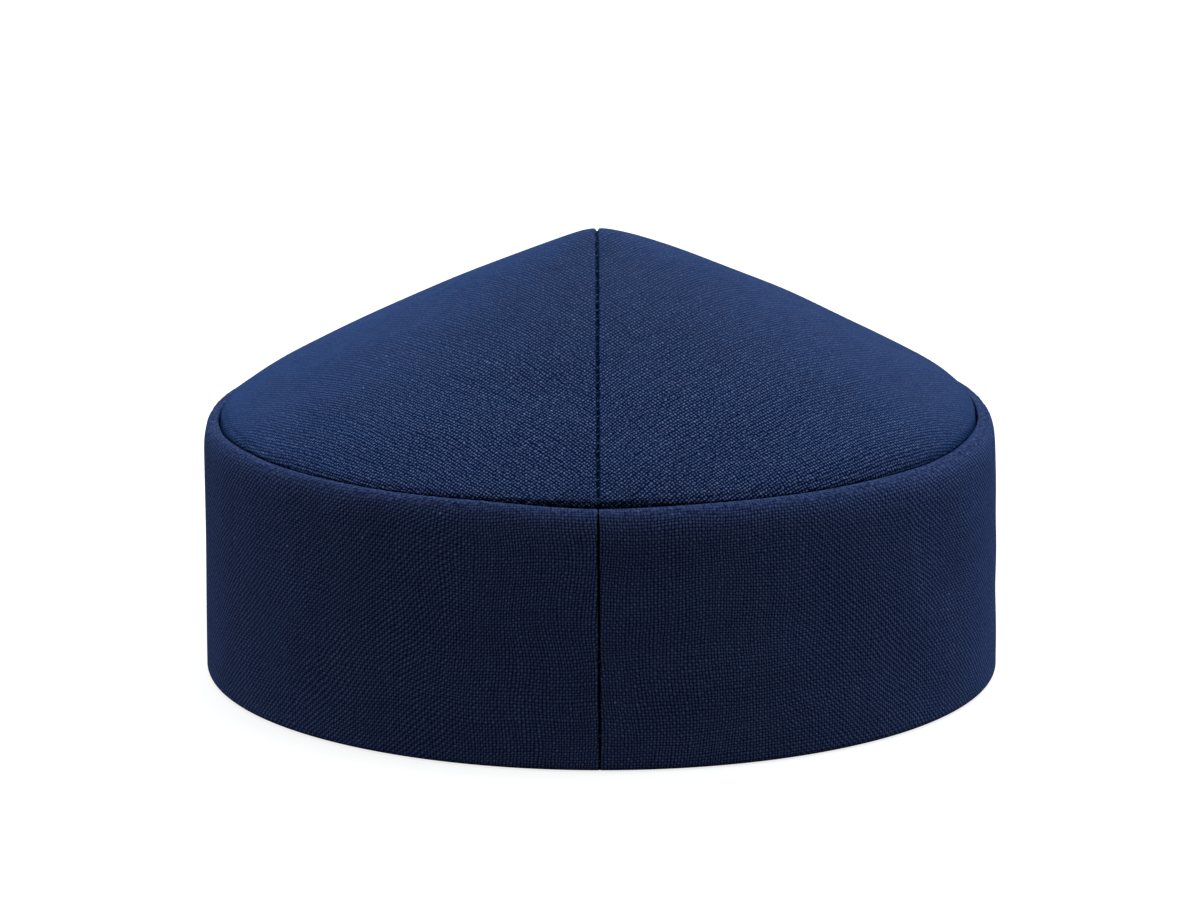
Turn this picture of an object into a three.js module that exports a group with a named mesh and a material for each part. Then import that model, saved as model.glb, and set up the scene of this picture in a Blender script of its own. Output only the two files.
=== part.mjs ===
import * as THREE from 'three';
import { mergeVertices } from 'three/addons/utils/BufferGeometryUtils.js';

// A kufi: an upright round cloth band with a pointed cloth crown set inside its lip.
// Both are sewn from two halves, a left and a right one, which meet at seams in front and behind.
// Millimetres, +Z up, with the front towards -Y. Left and right are as seen from the front.

// Band
const BAND_RADIUS = 95.1;
const BAND_WALL = 3;
const BAND_SHIFT = 0.4;        // the band's outer face sits this far right of the seams
const RIM_FOLD = 1.4;          // the folded bottom edge is rounded, with a flat ring to rest on
const RIM_INNER_FOLD = 0.6;
const LIP_HEIGHT = 62.7;
const LIP_THROAT_RADIUS = 91.3;
const LIP_THROAT_DEPTH = 8;    // the lip's inner face runs down this far before the wall thins
const LIP_THROAT_TAPER = 3;    // height over which it thins

// Crown
const CROWN_WALL = 2;
const CROWN_RADIUS = 91;
const CROWN_EDGE_FOLD = 2.4;   // radius of the turn down into the groove
const CROWN_EDGE_TURN = 60;    // degrees of that turn
const CROWN_MARGIN_FOOT = 55;  // height of the margin's lower edge, tucked inside the band

// Seams
const SEAM_GAP = 0.3;
const SEAM_DIP = 0.5;          // how far the cloth rolls in at a crown seam
const BAND_SEAM_DIP = 0.3;
const SEAM_ROLL = 1.1;         // distance from the seam over which it rolls in

// The hat leans a little to its left, by this much at the lip's height.
const LEAN = -0.4;

const CROWN_CLOTH = { color: 0x25345a, roughness: 0.95, metalness: 0 };
const BAND_CLOTH = { color: 0x1a2444, roughness: 0.95, metalness: 0 };

// Each half goes towards -X or +X. The shoulder is the height at which the band's face starts to
// round inwards, and the inset is how far in the crest of its lip lies.
const HALVES = [
  { name: 'left', sign: -1, shoulder: 54, inset: 2.9, fullness: 0 },
  { name: 'right', sign: 1, shoulder: 51, inset: 3.1, fullness: 1 },
];

// The crown's slope, from the point down to the groove.
// A full half stands higher than the other at its side by the fuller column.
const CROWN_SLOPE = [
  { radius: 0, height: 107.9, fuller: 0 },
  { radius: 5, height: 106.8, fuller: 0.2 },
  { radius: 14, height: 103.1, fuller: 0.7 },
  { radius: 30, height: 95.8, fuller: 1.3 },
  { radius: 50, height: 86.1, fuller: 1.6 },
  { radius: 68, height: 76.8, fuller: 1.6 },
  { radius: 80, height: 70, fuller: 1.6 },
  { radius: 86, height: 66.2, fuller: 1.8 },
  { radius: 89.6, height: 63.6, fuller: 1.4 },
];

// The lip isn't quite level: its rise above LIP_HEIGHT, by the angle round from the front.
const LIP_WAVE = [
  { angle: 0, left: -0.1, right: -0.1 },
  { angle: 18, left: 1, right: 0.4 },
  { angle: 40, left: 0.6, right: 0.2 },
  { angle: 62, left: -0.1, right: -0.5 },
  { angle: 90, left: -1.4, right: -0.2 },
  { angle: 135, left: -1.4, right: -0.3 },
  { angle: 180, left: -0.6, right: -0.6 },
];

// How finely outlines are cut
const CROWN_SLOPE_STEPS = 13;
const FOLD_STEP = 30;          // degrees
const SHOULDER_STEP = 15;

// Angles round from the front at which sections are taken, closer together beside the seams.
const SEAM_SECTIONS = [0, 0.7, 1.6, 3.5];
const OPEN_SECTION_START = 8;
const OPEN_SECTION_COUNT = 29;

const radians = THREE.MathUtils.degToRad;

function sectionAngles() {
  const open = [];
  const span = 180 - 2 * OPEN_SECTION_START;
  for (let i = 0; i < OPEN_SECTION_COUNT; i++) {
    open.push(OPEN_SECTION_START + span * i / (OPEN_SECTION_COUNT - 1));
  }
  const behind = SEAM_SECTIONS.map((angle) => 180 - angle).reverse();
  return [...SEAM_SECTIONS, ...open, ...behind];
}

// A smooth value between the rows of a table that is sorted by its key column.
function readTable(rows, key, column, at) {
  const last = rows.length - 1;
  if (at <= rows[0][key]) return rows[0][column];
  if (at >= rows[last][key]) return rows[last][column];
  const next = rows.findIndex((row) => row[key] >= at);
  const before = rows[next - 1];
  const after = rows[next];
  const along = THREE.MathUtils.smoothstep(at, before[key], after[key]);
  return THREE.MathUtils.lerp(before[column], after[column], along);
}

// Points of an elliptical arc in the plane of radius and height, from one angle to another.
function arc(radius, height, reach, rise, from, to, step = FOLD_STEP) {
  const curve = new THREE.EllipseCurve(radius, height, reach, rise, radians(from), radians(to), to < from);
  return curve.getPoints(Math.round(Math.abs(to - from) / step));
}

// How deeply cloth is rolled in at a distance from the seam.
function rollIn(depth, distance) {
  return depth * Math.exp(-((distance / SEAM_ROLL) ** 2));
}

// A size that is a half's own at its side, and the mean of both halves' at the seams.
function blendedSize(half, column, angle) {
  const mean = (HALVES[0][column] + HALVES[1][column]) / 2;
  return THREE.MathUtils.lerp(mean, half[column], Math.sin(radians(angle)));
}

// The band's wall, as a closed outline of radius and height: up its face, over the lip, down inside.
function bandOutline(half, angle) {
  const side = Math.sin(radians(angle));
  const crest = LIP_HEIGHT + readTable(LIP_WAVE, 'angle', half.name, angle);
  const shoulder = blendedSize(half, 'shoulder', angle);
  const crestRadius = BAND_RADIUS - blendedSize(half, 'inset', angle);
  const face = BAND_RADIUS + BAND_SHIFT * half.sign * side;
  const inner = face - BAND_WALL;
  const throatFold = crestRadius - LIP_THROAT_RADIUS;
  const outside = [
    ...arc(face - RIM_FOLD, RIM_FOLD, RIM_FOLD, RIM_FOLD, -90, 0),
    ...arc(crestRadius, shoulder, face - crestRadius, crest - shoulder, 0, 90, SHOULDER_STEP),
  ];
  const dip = rollIn(BAND_SEAM_DIP, BAND_RADIUS * side);
  const rolled = outside.map((point) => new THREE.Vector2(point.x - dip, point.y));
  const inside = [
    ...arc(crestRadius, crest - throatFold, throatFold, throatFold, 120, 180),
    new THREE.Vector2(LIP_THROAT_RADIUS, crest - LIP_THROAT_DEPTH),
    new THREE.Vector2(inner, crest - LIP_THROAT_DEPTH - LIP_THROAT_TAPER),
    ...arc(inner + RIM_INNER_FOLD, RIM_INNER_FOLD, RIM_INNER_FOLD, RIM_INNER_FOLD, 180, 270),
  ];
  return [...rolled, ...inside];
}

// The crown's wall, as a closed outline that starts and ends on the axis.
function crownOutline(half, angle) {
  const side = Math.sin(radians(angle));
  const fullness = half.fullness * side;
  const rows = CROWN_SLOPE.map((row) => new THREE.Vector2(row.radius, row.height + row.fuller * fullness));
  const slope = new THREE.SplineCurve(rows);
  const edge = rows.at(-1);
  const turn = CROWN_EDGE_FOLD;
  const outer = [
    ...slope.getPoints(CROWN_SLOPE_STEPS).slice(0, -1),
    ...arc(CROWN_RADIUS - turn, edge.y - turn, turn, turn, CROWN_EDGE_TURN, 0),
    new THREE.Vector2(CROWN_RADIUS, CROWN_MARGIN_FOOT),
  ];
  const inner = offsetInward(outer, CROWN_WALL).reverse();
  const foot = outer.length - 1;
  const rolled = outer.map((point, i) => {
    const dip = i === foot ? 0 : rollIn(SEAM_DIP, point.x * side);
    return new THREE.Vector2(point.x, point.y - dip);
  });
  return [...rolled, ...inner].reverse();
}

// A copy of an outline moved by the wall's thickness towards the hollow, its first point kept on the axis.
function offsetInward(outline, thickness) {
  return outline.map((point, i) => {
    const before = outline[Math.max(i - 1, 0)];
    const after = outline[Math.min(i + 1, outline.length - 1)];
    const along = after.clone().sub(before).normalize();
    const moved = new THREE.Vector2(point.x + along.y * thickness, point.y - along.x * thickness);
    if (i === 0) moved.set(0, point.y - thickness);
    if (i === outline.length - 1) moved.y = point.y;
    return moved;
  });
}

// One closed body: outlines at each section angle, joined round the half and capped at both seams.
function loftHalf(half, outlineAt) {
  const angles = sectionAngles();
  const positions = [];
  const indices = [];
  const outlines = angles.map((angle) => outlineAt(half, angle));
  const count = outlines[0].length;
  outlines.forEach((outline, s) => {
    const angle = radians(angles[s]);
    for (const point of outline) {
      const reach = SEAM_GAP / 2 + point.x * Math.sin(angle);
      const lean = LEAN * point.y / LIP_HEIGHT;
      positions.push(half.sign * reach + lean, -point.x * Math.cos(angle), point.y);
    }
  });
  const addTriangle = (a, b, c) => (half.sign > 0 ? indices.push(a, b, c) : indices.push(a, c, b));
  for (let s = 0; s < angles.length - 1; s++) {
    for (let i = 0; i < count; i++) {
      const next = (i + 1) % count;
      const here = s * count;
      const there = here + count;
      addTriangle(here + i, there + i, there + next);
      addTriangle(here + i, there + next, here + next);
    }
  }
  const lastStart = (angles.length - 1) * count;
  for (const [a, b, c] of THREE.ShapeUtils.triangulateShape(outlines[0], [])) {
    addTriangle(a, b, c);
  }
  for (const [a, b, c] of THREE.ShapeUtils.triangulateShape(outlines.at(-1), [])) {
    addTriangle(lastStart + a, lastStart + c, lastStart + b);
  }
  const geometry = new THREE.BufferGeometry();
  geometry.setAttribute('position', new THREE.Float32BufferAttribute(positions, 3));
  geometry.setIndex(indices);
  return withoutSlivers(mergeVertices(geometry, 1e-4));
}

// Sections share points on the axis, so the triangles that fold to nothing there are left out.
function withoutSlivers(geometry) {
  const index = geometry.getIndex().array;
  const kept = [];
  for (let i = 0; i < index.length; i += 3) {
    const [a, b, c] = [index[i], index[i + 1], index[i + 2]];
    if (a !== b && b !== c && c !== a) kept.push(a, b, c);
  }
  geometry.setIndex(kept);
  geometry.computeVertexNormals();
  return geometry;
}

function makePiece(name, geometry, cloth) {
  const piece = new THREE.Mesh(geometry, new THREE.MeshStandardMaterial(cloth));
  piece.name = name;
  return piece;
}

const kufi = new THREE.Group();
for (const half of HALVES) {
  kufi.add(makePiece(`crown_${half.name}`, loftHalf(half, crownOutline), CROWN_CLOTH));
  kufi.add(makePiece(`band_${half.name}`, loftHalf(half, bandOutline), BAND_CLOTH));
}

// The origin is the middle of the underside.
const box = new THREE.Box3().setFromObject(kufi);
const centre = box.getCenter(new THREE.Vector3());
kufi.position.set(-centre.x, -centre.y, -box.min.z);

export default kufi;
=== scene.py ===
"""A kufi in its finished cloth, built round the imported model.

The hat is an upright band of doubled navy cloth with a pointed crown set inside its lip. Each is
sewn from a left and a right half, which meet at seams in front and behind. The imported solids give
the frame. Here each half is made again as fine cloth, with rolled seam edges, a tucked margin and
a woven finish, and sewing thread holds the halves together. Metres, +Z up, front towards -Y.
"""

import logging
import math
from collections.abc import Callable
from dataclasses import dataclass, field
from enum import Enum, IntEnum
from typing import NamedTuple

import bpy
import numpy as np
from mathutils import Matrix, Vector


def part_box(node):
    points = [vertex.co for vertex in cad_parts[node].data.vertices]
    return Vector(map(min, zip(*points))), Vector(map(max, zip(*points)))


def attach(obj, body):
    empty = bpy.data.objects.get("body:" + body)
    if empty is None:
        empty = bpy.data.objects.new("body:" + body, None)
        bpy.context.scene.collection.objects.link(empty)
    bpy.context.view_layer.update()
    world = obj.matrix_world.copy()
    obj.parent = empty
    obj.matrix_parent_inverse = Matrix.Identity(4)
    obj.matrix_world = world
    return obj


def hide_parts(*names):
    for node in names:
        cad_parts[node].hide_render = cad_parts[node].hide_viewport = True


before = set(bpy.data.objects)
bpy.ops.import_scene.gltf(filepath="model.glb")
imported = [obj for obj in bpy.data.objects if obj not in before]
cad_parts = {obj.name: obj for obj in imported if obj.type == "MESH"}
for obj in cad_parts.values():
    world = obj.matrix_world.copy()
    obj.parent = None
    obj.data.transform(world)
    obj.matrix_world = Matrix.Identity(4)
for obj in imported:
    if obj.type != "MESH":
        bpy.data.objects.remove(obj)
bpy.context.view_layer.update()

log = logging.getLogger("kufi")

MM = 0.001
QUARTER = math.pi / 2
CLOTH_MAP = "cloth"
# Per point: painted shade, painted sheen on the crown and abrasion on the lip, and thread lean.
SHADE_AND_WEAR_ATTRIBUTE = "shade_and_wear"
OUTWARD_ATTRIBUTE = "outward"
BODY = "root"
SHARP_ANGLE = math.radians(60)
SIDE_FROM = 0.85
WAVE_LENGTHS = (0.6, 1.8)
THREAD_STRIDE = 3.7
STITCH_BOW = 0.35
STITCH_LEAN = (0.4, 1.4)

Colour = tuple[float, float, float, float]
Numbers = np.ndarray | float
Place = tuple[float, float]
Runs = list[tuple[np.ndarray, np.ndarray]]


class Half(Enum):
    """The two halves of the hat, by the way they lie from the seams."""

    LEFT = -1
    RIGHT = 1

    @property
    def word(self) -> str:
        """The half's name in plain letters."""
        return self.name.lower()

    @property
    def cut_from(self) -> np.ndarray:
        """Where on the roll of cloth the half is cut, so that no two halves share their threads."""
        return np.array([0.61, 0.37]) * (self.value + 1) / 2


class SlopeRow(NamedTuple):
    """A place on the slope, in millimetres. A full half stands higher by the last number."""

    radius: float
    height: float
    fuller: float


class LipRow(NamedTuple):
    """How far the lip stands over its usual height, in millimetres, at degrees from the front."""

    angle: float
    left: float
    right: float


def smooth_step(low: Numbers, high: Numbers, value: Numbers) -> np.ndarray:
    """Eases from 0 to 1.

    Args:
        low: Where the step starts.
        high: Where it ends.
        value: The places to read.

    Returns:
        The eased share at each place.
    """
    share = np.clip((value - low) / (high - low), 0, 1)
    return share * share * (3 - 2 * share)


def mix(low: Numbers, high: Numbers, share: Numbers) -> Numbers:
    """Goes from low to high as a share goes from 0 to 1."""
    return low + (high - low) * share


class Ease(NamedTuple):
    """An eased step from 0 at one measure to 1 at another, both in millimetres."""

    start: float
    end: float

    def at(self, value: Numbers) -> np.ndarray:
        """Reads the step at places given in metres."""
        return smooth_step(self.start * MM, self.end * MM, value)


def read_rows(keys: np.ndarray, values: np.ndarray, at: np.ndarray) -> np.ndarray:
    """Reads a table between its rows, with an eased step from each row to the next.

    Args:
        keys: The rows' keys, rising.
        values: The rows' values.
        at: The keys to read at.

    Returns:
        The values there.
    """
    row = np.clip(np.searchsorted(keys, at) - 1, 0, len(keys) - 2)
    share = smooth_step(keys[row], keys[row + 1], at)
    return mix(values[row], values[row + 1], share)


def spline(values: np.ndarray, steps: np.ndarray) -> np.ndarray:
    """A Catmull-Rom curve through values, its ends held.

    Args:
        values: The numbers to pass through, one to a whole step.
        steps: Where to read the curve, from 0 to the last value's index.

    Returns:
        The curve's value at each step.
    """
    last = len(values) - 1
    start = np.clip(np.floor(steps).astype(int), 0, last - 1)
    share = steps - start
    before, here = values[np.maximum(start - 1, 0)], values[start]
    there, after = values[start + 1], values[np.minimum(start + 2, last)]
    leave, arrive = (there - before) / 2, (after - here) / 2
    cubic = (2 * here - 2 * there + leave + arrive) * share**3
    square = (3 * there - 3 * here - 2 * leave - arrive) * share**2
    return cubic + square + leave * share + here


def arc_points(
    centre: Place, reach: float, rise: float, start: float, end: float, count: int, full: float = 1
) -> list[Place]:
    """Points along an elliptical arc in the plane of radius and height.

    Args:
        centre: The arc's centre.
        reach: Its half width.
        rise: Its half height.
        start: The angle it starts at, in degrees.
        end: The angle it ends at.
        count: How many points it has.
        full: 1 for an ellipse, and less for an arc that fills its corner more.

    Returns:
        The points in order.
    """
    turns = np.radians(np.linspace(start, end, count))
    sides = np.sign(np.cos(turns)) * np.abs(np.cos(turns)) ** full
    lifts = np.sign(np.sin(turns)) * np.abs(np.sin(turns)) ** full
    return [(centre[0] + reach * c, centre[1] + rise * s) for c, s in zip(sides, lifts)]


def line_points(start: Place, end: Place, count: int) -> list[Place]:
    """Points along a straight line, without its two ends.

    Args:
        start: One end, as radius and height.
        end: The other end.
        count: How many points lie between them.

    Returns:
        The points in order.
    """
    shares = np.linspace(0, 1, count + 2)[1:-1]
    return [(mix(start[0], end[0], share), mix(start[1], end[1], share)) for share in shares]


def run_lengths(radii: np.ndarray, heights: np.ndarray) -> np.ndarray:
    """How far each point of an outline, or of several, lies along it from its first."""
    steps = np.hypot(np.diff(radii), np.diff(heights))
    return np.concatenate([np.zeros_like(radii[..., :1]), np.cumsum(steps, axis=-1)], axis=-1)


def outline_normals(radii: np.ndarray, heights: np.ndarray, closed: bool) -> np.ndarray:
    """Outward directions along an outline that runs clockwise round its cloth.

    Args:
        radii: The outline's radii.
        heights: The outline's heights.
        closed: Whether the outline's end joins its start.

    Returns:
        A unit direction in radius and height for each point.
    """
    line = np.stack([radii, heights], axis=1)
    if closed:
        along = np.roll(line, -1, axis=0) - np.roll(line, 1, axis=0)
    else:
        along = np.gradient(line, axis=0)
    along /= np.linalg.norm(along, axis=1, keepdims=True)
    return np.stack([-along[:, 1], along[:, 0]], axis=1)


@dataclass(frozen=True)
class Lip:
    """The lip's height above the floor, which is uneven round the hat.

    Attributes:
        height: Its usual height.
        rows: How it departs from that.
    """

    height: float
    rows: tuple[LipRow, ...]

    def crest(self, half: Half, angles: np.ndarray) -> np.ndarray:
        """How high the lip stands on a half at angles round from the front, in radians."""
        keys, rises = np.array([(row.angle, getattr(row, half.word)) for row in self.rows]).T
        return self.height + read_rows(keys, rises, np.degrees(angles)) * MM


@dataclass(frozen=True)
class Standing:
    """Where the hat stands in the frame.

    Attributes:
        seam_x: Where the seams meet the floor.
        lean: How far sideways the hat has gone at the lip's usual height.
        lip: The band's lip.
        radius: The band's outer radius.
        margin_foot: The height of the crown's margin.
    """

    seam_x: float
    lean: float
    lip: Lip
    radius: float
    margin_foot: float

    @classmethod
    def from_frame(cls, packed_gap: float, lip: Lip) -> "Standing":
        """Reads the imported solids' boxes.

        Args:
            packed_gap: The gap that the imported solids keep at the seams.
            lip: The band's lip.

        Returns:
            The hat's standing.
        """
        left_low, left_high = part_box("band_left")
        right_low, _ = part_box("band_right")
        seam_x = left_high[0] + packed_gap / 2
        lean = right_low[0] - packed_gap / 2 - seam_x
        radius = (left_high[1] - left_low[1]) / 2
        return cls(seam_x, lean, lip, radius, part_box("crown_left")[0][2])

    def place(
        self, half: Half, across: np.ndarray, along: np.ndarray, heights: np.ndarray
    ) -> np.ndarray:
        """Puts points of one half into the frame.

        Args:
            half: The half that they belong to.
            across: How far they lie out from the seams.
            along: How far they lie behind the hat's middle.
            heights: How high they lie.

        Returns:
            The points, with x, y and z last.
        """
        x = self.seam_x + self.lean * heights / self.lip.height + half.value * across
        return np.stack([x, along, heights], axis=-1)


@dataclass(frozen=True)
class SeamRoll:
    """How cloth turns in at a seam, from the seam's flank out to the open face.

    Attributes:
        offsets: Distances from the flank, in millimetres.
        depths: How deep the cloth lies there, in millimetres.
        reach: How far from a seam the cloth's points lie close together.
        step: How far apart they lie where the roll ends.
        widening: How quickly they spread from there.
    """

    offsets: tuple[float, ...]
    depths: tuple[float, ...]
    reach: float = 16 * MM
    step: float = 0.3 * MM
    widening: float = 0.09

    def depth(self, distance: np.ndarray) -> np.ndarray:
        """How deep the cloth lies at distances from the flank, in metres."""
        return np.interp(distance, np.array(self.offsets) * MM, np.array(self.depths) * MM)

    def angles(self, columns: int, radius: float, rings: np.ndarray) -> np.ndarray:
        """Angles round from the front at which a half's points lie.

        Beside each seam they keep the distances that the roll needs, unless the ring is too small.

        Args:
            columns: Half the number of columns from the one seam's reach to the other's.
            radius: The largest ring's radius.
            rings: The rings' radii.

        Returns:
            For each ring, the angles in radians.
        """
        near = [offset * MM for offset in self.offsets]
        rolled = near[-1]
        while near[-1] < self.reach:
            near.append(near[-1] + self.step + self.widening * (near[-1] - rolled) ** 0.9)
        near = np.array(near)
        limit = near[-1] / radius
        caps = limit * np.arange(len(near)) / (len(near) - 1)
        caps = np.maximum(caps, near / radius)
        beside = np.minimum(near / np.maximum(rings, 1e-9)[:, None], caps)
        open_angles = np.linspace(limit, math.pi - limit, columns * 2)[1:-1]
        middle = np.repeat(open_angles[None, :], len(rings), axis=0)
        return np.concatenate([beside, middle, math.pi - beside[:, ::-1]], axis=1)


@dataclass(frozen=True)
class Ripples:
    """Slight unevenness of hand-made cloth, as a sum of a few waves.

    Attributes:
        height: The waves' usual height.
        length: Their usual length.
        seed: Picks the waves.
        count: How many waves are added.
    """

    height: float
    length: float
    seed: int
    count: int = 9

    def at(self, half: Half, across: np.ndarray, along: np.ndarray) -> np.ndarray:
        """Reads the unevenness of a half.

        Args:
            half: Which half, as each has its own waves.
            across: Places one way on the cloth.
            along: Places the other way.

        Returns:
            How far the cloth stands off its mean face there.
        """
        chance = np.random.default_rng(self.seed + half.value)
        total = np.zeros(np.broadcast(across, along).shape)
        for _ in range(self.count):
            heading, phase = chance.uniform(0, math.tau, 2)
            wave = math.tau / (self.length * chance.uniform(*WAVE_LENGTHS))
            total += np.sin(wave * (across * math.cos(heading) + along * math.sin(heading)) + phase)
        return self.height * total / math.sqrt(self.count)


@dataclass
class ClothMesh:
    """Gathers a closed cloth piece: points, faces, cloth map, painted shade and sheen, abrasion."""

    name: str
    count: int = 0
    points: list[np.ndarray] = field(default_factory=list)
    cloth: list[np.ndarray] = field(default_factory=list)
    shade_and_wear: list[np.ndarray] = field(default_factory=list)
    faces: list[tuple[int, ...]] = field(default_factory=list)

    def add_points(
        self,
        points: np.ndarray,
        cloth: np.ndarray,
        depths: np.ndarray,
        sheen_and_wear: Numbers = 0.0,
        leaning: Numbers = 0.0,
    ) -> np.ndarray:
        """Adds a grid of points.

        Args:
            points: Places in the frame, with x, y and z last.
            cloth: Places on the flat cloth, with two numbers last.
            depths: How much painted shade each point gets, as a depth in metres.
            sheen_and_wear: How far painted sheen and abrasion even the weave there, from 0 to 1.
            leaning: How far the threads lean into slanting lines there, from 0 to 1.

        Returns:
            The points' numbers, in the grid's shape.
        """
        shape = points.shape[:-1]
        shade_and_wear = [np.broadcast_to(part, shape) for part in (depths, sheen_and_wear, leaning)]
        numbers = np.arange(self.count, self.count + math.prod(shape)).reshape(shape)
        self.points.append(points.reshape(-1, 3))
        self.cloth.append(cloth.reshape(-1, 2))
        self.shade_and_wear.append(np.stack(shade_and_wear, axis=-1).reshape(-1, 3))
        self.count += numbers.size
        return numbers

    def add_quads(self, numbers: np.ndarray) -> None:
        """Fills a grid with faces, leaving out corners that are one point.

        Args:
            numbers: The points' numbers, row by row.
        """
        corners = (numbers[:-1, :-1], numbers[1:, :-1], numbers[1:, 1:], numbers[:-1, 1:])
        for loop in zip(*(corner.flat for corner in corners)):
            face = tuple(dict.fromkeys(int(n) for n in loop))
            if len(face) > 2:
                self.faces.append(face)

    def finish(self) -> bpy.types.Object:
        """Makes the piece, with its faces outwards and its sharp corners marked.

        Returns:
            The new object, at the origin.
        """
        mesh = bpy.data.meshes.new(self.name)
        points = np.concatenate(self.points)
        fans = [(f[0], f[i], f[i + 1]) for f in self.faces for i in range(1, len(f) - 1)]
        first, second, third = points[np.array(fans)].transpose(1, 0, 2)
        volume = np.sum(first * np.cross(second, third))
        faces = self.faces if volume > 0 else [face[::-1] for face in self.faces]
        mesh.from_pydata(points.tolist(), [], faces)
        loops = np.empty(len(mesh.loops), int)
        mesh.loops.foreach_get("vertex_index", loops)
        layer = mesh.uv_layers.new(name=CLOTH_MAP)
        layer.data.foreach_set("uv", np.concatenate(self.cloth)[loops].ravel())
        shade_and_wear = mesh.attributes.new(SHADE_AND_WEAR_ATTRIBUTE, "FLOAT_VECTOR", "POINT")
        shade_and_wear.data.foreach_set("vector", np.concatenate(self.shade_and_wear).astype(np.float32).ravel())
        mesh.shade_smooth()
        mesh.set_sharp_from_angle(angle=SHARP_ANGLE)
        mesh.update()
        return link(self.name, mesh)


def link(name: str, data: bpy.types.ID) -> bpy.types.Object:
    """Puts data into the scene.

    Args:
        name: The object's name.
        data: Its mesh, light or camera.

    Returns:
        The new object.
    """
    made = bpy.data.objects.new(name, data)
    bpy.context.scene.collection.objects.link(made)
    return made


def math_method(operation: str, swapped: bool = False) -> Callable[..., "Signal"]:
    """A method that adds a Math node over a signal and any other terms.

    Args:
        operation: The node's operation.
        swapped: Whether the signal comes last, as in a reflected operator.

    Returns:
        The method.
    """

    def method(signal: "Signal", *others: "Signal | float") -> "Signal":
        """Adds the node over the signal and the others."""
        terms = dict(enumerate((*others, signal) if swapped else (signal, *others)))
        return signal.graph.signal("ShaderNodeMath", terms, operation=operation)

    return method


class Signal:
    """A number inside a node tree, which Python arithmetic builds on."""

    __add__ = __radd__ = math_method("ADD")
    __mul__ = __rmul__ = math_method("MULTIPLY")
    __sub__, __rsub__ = math_method("SUBTRACT"), math_method("SUBTRACT", swapped=True)
    __truediv__, __rtruediv__ = math_method("DIVIDE"), math_method("DIVIDE", swapped=True)
    __gt__ = math_method("GREATER_THAN")
    at_least = math_method("MAXIMUM")
    floor = math_method("FLOOR")
    root = math_method("SQRT")
    cosine = math_method("COSINE")

    def __init__(self, graph: "Graph", socket: bpy.types.NodeSocket) -> None:
        """Wraps a socket of a graph."""
        self.graph = graph
        self.socket = socket

    def ease(self, low: float, high: float) -> "Signal":
        """Eases from 0 at low to 1 at high."""
        step = {"Value": self, "From Min": low, "From Max": high}
        return self.graph.signal("ShaderNodeMapRange", step, interpolation_type="SMOOTHSTEP")

    def between(self, low: "Signal | float", high: "Signal | float") -> "Signal":
        """Goes from low to high as this goes from 0 to 1."""
        return self * (high - low) + low

    def about_one(self, spread: float) -> "Signal":
        """Goes from as much below 1 to as much above it as this goes from 0 to 1."""
        return self.between(1 - spread, 1 + spread)


class Graph:
    """A node tree that is being written."""

    def __init__(self, tree: bpy.types.NodeTree) -> None:
        """Starts with the tree empty."""
        self.tree = tree
        tree.nodes.clear()

    def node(self, kind: str, values: dict | None = None, **settings: object) -> bpy.types.Node:
        """Adds a node.

        Args:
            kind: Its type.
            values: For each socket, by identifier, name or place, its value or what it is linked
                to: a socket, a signal, or a node by its first output.
            settings: What it is set to first, such as a Math node's operation.

        Returns:
            The node.
        """
        made = self.tree.nodes.new(kind)
        for name, setting in settings.items():
            setattr(made, name, setting)
        by_identifier = {socket.identifier: socket for socket in made.inputs}
        for key, value in (values or {}).items():
            socket = by_identifier[key] if key in by_identifier else made.inputs[key]
            if isinstance(value, Signal):
                value = value.socket
            elif isinstance(value, bpy.types.Node):
                value = value.outputs[0]
            if isinstance(value, bpy.types.NodeSocket):
                self.tree.links.new(value, socket)
            else:
                socket.default_value = value
        return made

    def signal(self, kind: str, values: dict, **settings: object) -> Signal:
        """Adds a node whose first output is a number, and wraps that."""
        return Signal(self, self.node(kind, values, **settings).outputs[0])

    def parts(self, vector: bpy.types.NodeSocket | bpy.types.Node) -> list[Signal]:
        """A vector's three numbers."""
        split = self.node("ShaderNodeSeparateXYZ", {"Vector": vector})
        return [Signal(self, output) for output in split.outputs]

    def vector(
        self, x: Signal | float = 0.0, y: Signal | float = 0.0, z: Signal | float = 0.0
    ) -> bpy.types.Node:
        """A vector from three numbers."""
        return self.node("ShaderNodeCombineXYZ", {"X": x, "Y": y, "Z": z})

    def noise(self, x: Signal, y: Signal, shift: float, detail: float = 0) -> Signal:
        """Smooth noise from 0 to 1 in two directions, the same each time for the same shift."""
        values = {"Vector": self.vector(x, y, shift), "Scale": 1.0, "Detail": detail}
        return self.signal("ShaderNodeTexNoise", values, noise_dimensions="3D")

    def chance(self, x: Signal | float, y: Signal | float, shift: float) -> Signal:
        """A random number from 0 to 1 for each whole place."""
        values = {"Vector": self.vector(x, y, shift)}
        return self.signal("ShaderNodeTexWhiteNoise", values, noise_dimensions="3D")

    def scaled(self, colour: object, amount: Signal) -> bpy.types.Node:
        """A colour or a direction, made larger or smaller by a number."""
        values = {"Vector": colour[:3] if isinstance(colour, tuple) else colour, "Scale": amount}
        return self.node("ShaderNodeVectorMath", values, operation="SCALE")

    def mixed(self, share: Signal, first: object, second: object) -> bpy.types.NodeSocket:
        """A colour between two colours."""
        values = {"Factor_Float": share, "A_Color": first, "B_Color": second}
        return self.node("ShaderNodeMix", values, data_type="RGBA").outputs[2]

    def finish(self, shader: bpy.types.Node) -> None:
        """Ends a material in its shader."""
        self.node("ShaderNodeOutputMaterial", {"Surface": shader})


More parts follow.
